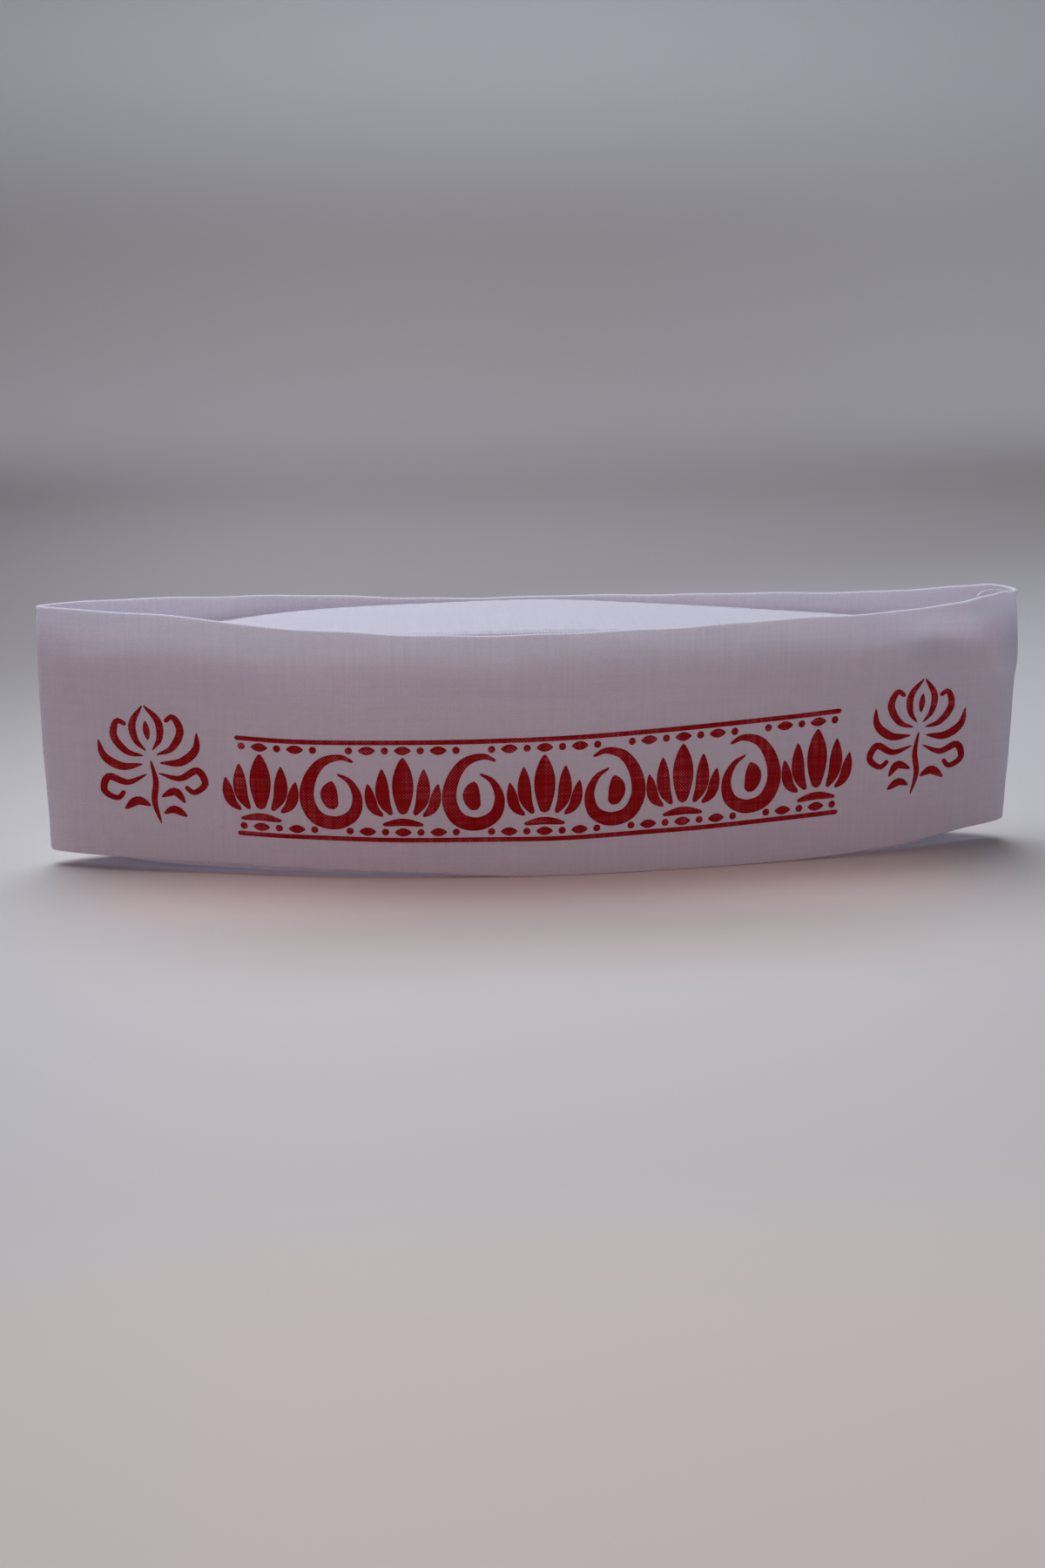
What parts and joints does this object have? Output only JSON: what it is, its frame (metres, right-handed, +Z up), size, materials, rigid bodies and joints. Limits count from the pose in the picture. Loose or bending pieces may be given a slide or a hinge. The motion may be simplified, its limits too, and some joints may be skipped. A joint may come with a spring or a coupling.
{
  "type": "gandhi cap",
  "caption": "Long boat-shaped white cloth cap with pointed ends, a deep turned-up band printed with an ornamental border, an inner side wall and a sunken pointed crown.",
  "frame": {"origin": "on the surface that the cap stands on, under the middle of its length and width", "axes": "+X along the cap towards its right point, as seen from the printed side, -Y out of the printed side, +Z up through the crown"},
  "size_m": [0.2824, 0.0567, 0.0764],
  "materials": {
    "band_cloth": "starched white plain weave with a faint sheen",
    "side_cloth": "starched white plain weave",
    "crown_cloth": "starched white plain weave",
    "border_ink": "matte dark red screen print, thin enough to show the weave"
  },
  "bodies": {
    "root": {"band": "band_cloth", "side_wall": "side_cloth", "crown": "crown_cloth"}
  },
  "joints": []
}
